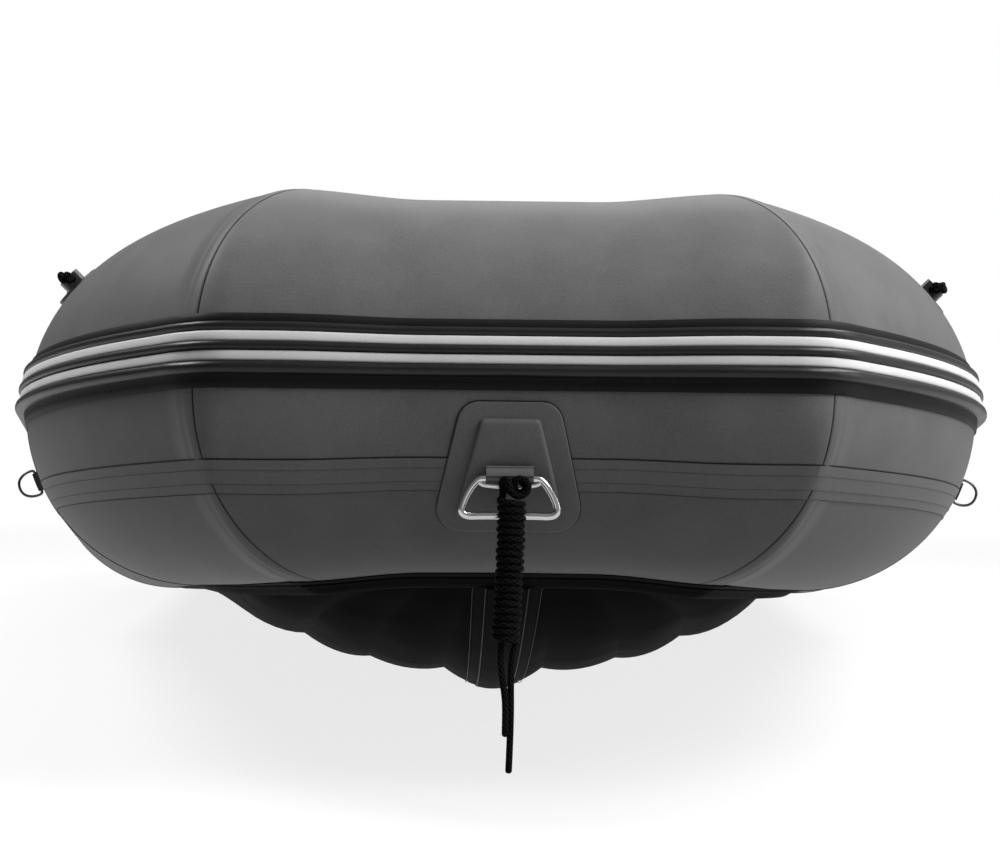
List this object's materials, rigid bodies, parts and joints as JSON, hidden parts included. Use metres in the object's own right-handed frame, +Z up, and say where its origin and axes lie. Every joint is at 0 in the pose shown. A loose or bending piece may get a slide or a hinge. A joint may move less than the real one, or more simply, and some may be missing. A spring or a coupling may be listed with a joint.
{
  "type": "inflatable boat",
  "caption": "Soft inflatable boat with mitred bow tubes, striped rub strake, lobed air floor, wooden transom, sliding bench seats, oarlocks and a painter hanging from its bow ring.",
  "frame": {"origin": "on the floor below the middle of the boat's length and beam", "axes": "+Z up, +Y towards the stern, -Y towards the bow, +X towards port"},
  "size_m": [1.568, 3.2929, 0.6461],
  "materials": {
    "tube_fabric": "semi-matt coated fabric",
    "cone_fabric": "semi-matt coated fabric",
    "stripe_rubber": "matt",
    "black_rubber": "satin",
    "hull_fabric": "glossy coated fabric",
    "marine_plywood": "grey paint",
    "rope": "braided",
    "stainless": "polished",
    "black_plastic": "moulded"
  },
  "bodies": {
    "hull": {"air_floor": "hull_fabric", "bow_patch": "tube_fabric", "bow_ring": "stainless", "bow_strap": "tube_fabric", "bow_tube": "tube_fabric", "carry_handles": "black_plastic", "drain_valve": "black_plastic", "forward_tube_port": "tube_fabric", "forward_tube_starboard": "tube_fabric", "inflation_valves": "black_plastic", "keel_guard": "black_rubber", "lifeline_port": "rope", "lifeline_saddles_port": "black_plastic", "lifeline_saddles_starboard": "black_plastic", "lifeline_starboard": "rope", "motor_plate_inner": "black_plastic", "motor_plate_outer": "black_plastic", "oarlock_base_port": "black_plastic", "oarlock_base_starboard": "black_plastic", "painter_hank": "rope", "painter_knot": "rope", "painter_long_end": "rope", "painter_short_end": "rope", "rub_strake": "black_rubber", "seat_rail_port": "black_plastic", "seat_rail_starboard": "black_plastic", "shoulder_tube_port": "tube_fabric", "shoulder_tube_starboard": "tube_fabric", "side_ring_patches": "black_rubber", "side_rings": "stainless", "stern_cone_port": "cone_fabric", "stern_cone_starboard": "cone_fabric", "stern_tube_port": "tube_fabric", "stern_tube_starboard": "tube_fabric", "strake_stripe_lower": "stripe_rubber", "strake_stripe_upper": "stripe_rubber", "transom_board": "marine_plywood", "transom_holders": "black_plastic"},
    "seat_forward": {"seat_forward": "marine_plywood"},
    "seat_aft": {"seat_aft": "marine_plywood"},
    "oarlock_port": {"oarlock_horn_port": "black_plastic"},
    "oarlock_starboard": {"oarlock_horn_starboard": "black_plastic"}
  },
  "joints": [
    {"name": "seat_forward_slide", "type": "slide", "parent": "hull", "child": "seat_forward", "axis": [0, 0.9969, -0.0781], "range_m": [-0.08, 0.08]},
    {"name": "seat_aft_slide", "type": "slide", "parent": "hull", "child": "seat_aft", "axis": [0, 0.9969, -0.0781], "range_m": [-0.06, 0.08]},
    {"name": "oarlock_port_swivel", "type": "hinge", "parent": "hull", "child": "oarlock_port", "pos_m": [0.555, 0.58666, 0.48887], "axis": [0, 0.0781, 0.9969], "range_deg": [-80, 80]},
    {"name": "oarlock_starboard_swivel", "type": "hinge", "parent": "hull", "child": "oarlock_starboard", "pos_m": [-0.555, 0.58666, 0.48887], "axis": [0, 0.0781, 0.9969], "range_deg": [-80, 80]}
  ]
}
